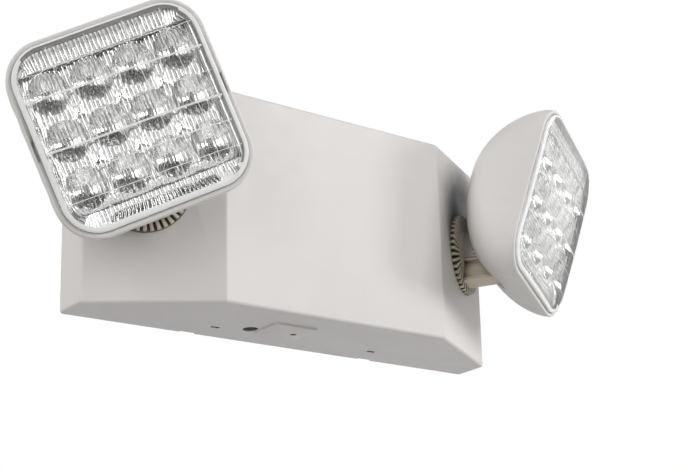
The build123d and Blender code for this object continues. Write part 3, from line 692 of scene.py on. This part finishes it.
def makeWorld():
    world = bpy.data.worlds.new("studio")
    bpy.context.scene.world = world
    world.use_nodes = True
    tree = world.node_tree
    tree.nodes.clear()
    path = addNode(tree, "ShaderNodeLightPath")
    soft = addNode(tree, "ShaderNodeBackground", inputs={
        "Color": (1, 1, 1, 1), "Strength": studio["ambient"]})
    white = addNode(tree, "ShaderNodeBackground", inputs={"Color": (1, 1, 1, 1), "Strength": 1.0})
    # Mirrors and the clear lens see a dark ceiling over a bright lower half, as in a photo studio
    direction = addNode(tree, "ShaderNodeTexCoord").outputs["Generated"]
    height = addNode(tree, "ShaderNodeVectorMath", {"operation": "DOT_PRODUCT"}, {
        0: direction, 1: studio["ceiling"]})
    rise = addNode(tree, "ShaderNodeMapRange", inputs={
        "Value": height.outputs["Value"], "From Min": -1.0, "From Max": 1.0})
    ceiling = addNode(tree, "ShaderNodeValToRGB", inputs={"Fac": rise.outputs[0]})
    stops = ceiling.color_ramp.elements
    stops.remove(stops[1])
    for place, grey in studio["mirrorRamp"]:
        stop = stops.new(place) if place > 0 else stops[0]
        stop.color = (grey, grey, grey, 1.0)
    # Light and grey cards round the stand, which the flutes draw out into streaks
    patches = addNode(tree, "ShaderNodeTexNoise", inputs={
        "Vector": direction, "Scale": studio["cards"], "Detail": studio["cardsDetail"]})
    cards = addNode(tree, "ShaderNodeMapRange", inputs={
        "Value": patches.outputs["Fac"], "From Min": studio["cardsFade"][0],
        "From Max": studio["cardsFade"][1], "To Min": studio["cardsDark"], "To Max": 1.0})
    # A brighter wall on the right
    across = addNode(tree, "ShaderNodeSeparateXYZ", inputs={0: direction})
    wall = addNode(tree, "ShaderNodeMapRange", inputs={
        "Value": across.outputs["X"], "From Min": studio["rightFade"][0],
        "From Max": studio["rightFade"][1], "To Min": 1.0, "To Max": studio["rightSide"]})
    strength = addNode(tree, "ShaderNodeMath", {"operation": "MULTIPLY"}, {
        0: cards.outputs[0], 1: wall.outputs[0]})
    seen = addNode(tree, "ShaderNodeBackground", inputs={
        "Color": ceiling.outputs[0], "Strength": strength.outputs[0]})
    sharp = addNode(tree, "ShaderNodeMath", {"operation": "MAXIMUM"}, {
        0: path.outputs["Is Glossy Ray"], 1: path.outputs["Is Transmission Ray"]}).outputs[0]
    indirect = addNode(tree, "ShaderNodeMixShader", inputs={
        "Fac": sharp, 1: soft.outputs[0], 2: seen.outputs[0]})
    mix = addNode(tree, "ShaderNodeMixShader", inputs={
        "Fac": path.outputs["Is Camera Ray"], 1: indirect.outputs[0], 2: white.outputs[0]})
    addNode(tree, "ShaderNodeOutputWorld", inputs={"Surface": mix.outputs[0]})


# A light that doesn't shine stays out of the mirrors and only fills
def makeLight(name, place, target, size, watts, shines):
    data = bpy.data.lights.new(name, "AREA")
    data.shape = "RECTANGLE"
    data.size, data.size_y = size
    data.energy = watts
    light = bpy.data.objects.new(name, data)
    bpy.context.scene.collection.objects.link(light)
    light.location = place
    direction = Vector(target) - Vector(place)
    light.rotation_euler = direction.to_track_quat("-Z", "Y").to_euler()
    light.visible_glossy = shines
    light.visible_transmission = shines


# Name, place, target and size in metres, watts, whether mirrors see it
lights = [
    ("key", (0.68, -1.45, 0.75), (0, 0, 0), (0.6, 0.5), 9.6, True),
    ("fill", (-1.4, -0.9, 0.1), (0, 0, 0), (0.7, 1.1), 6.2, True),
    ("rightFill", (1.2, -1.0, 0.3), (0, 0, 0), (0.3, 0.4), 8.5, False),
    ("back", (-1.0, 0.2, 0.95), (0.12, -0.06, 0.05), (0.5, 0.5), 8.0, False),
]


# Camera fitted to the outline of the light: angles in radians, places in metres, picture in pixels
view = {
    "azimuth": -0.674551183, "elevation": -0.297848427, "roll": -0.0252747983,
    "across": 0.0336530756, "above": 0.00319413223, "distance": 0.87246976,
    "width": 679, "focal": 1638.54666, "shiftX": -0.6227, "shiftY": 0.8577, "sensorMm": 36.0,
}


def makeCamera():
    azimuth, elevation, roll = view["azimuth"], view["elevation"], view["roll"]
    toward = Vector((
        math.sin(azimuth) * math.cos(elevation), -math.cos(azimuth) * math.cos(elevation), math.sin(elevation)))
    right = Vector((math.cos(azimuth), math.sin(azimuth), 0))
    up = toward.cross(right)
    turnedRight = math.cos(roll) * right + math.sin(roll) * up
    turnedUp = -math.sin(roll) * right + math.cos(roll) * up
    data = bpy.data.cameras.new("camera")
    data.sensor_width = view["sensorMm"]
    data.lens = view["focal"] / view["width"] * view["sensorMm"]
    data.shift_x = view["shiftX"] / view["width"]
    data.shift_y = view["shiftY"] / view["width"]
    camera = bpy.data.objects.new("camera", data)
    bpy.context.scene.collection.objects.link(camera)
    place = view["across"] * turnedRight + view["above"] * turnedUp + view["distance"] * toward
    turn = Matrix((turnedRight, turnedUp, toward)).transposed().to_4x4()
    camera.matrix_world = Matrix.Translation(place) @ turn
    bpy.context.scene.camera = camera


makeFloor()
makeWorld()
for values in lights:
    makeLight(*values)
makeCamera()
bpy.context.scene.view_settings.view_transform = "Standard"
print("stage made")
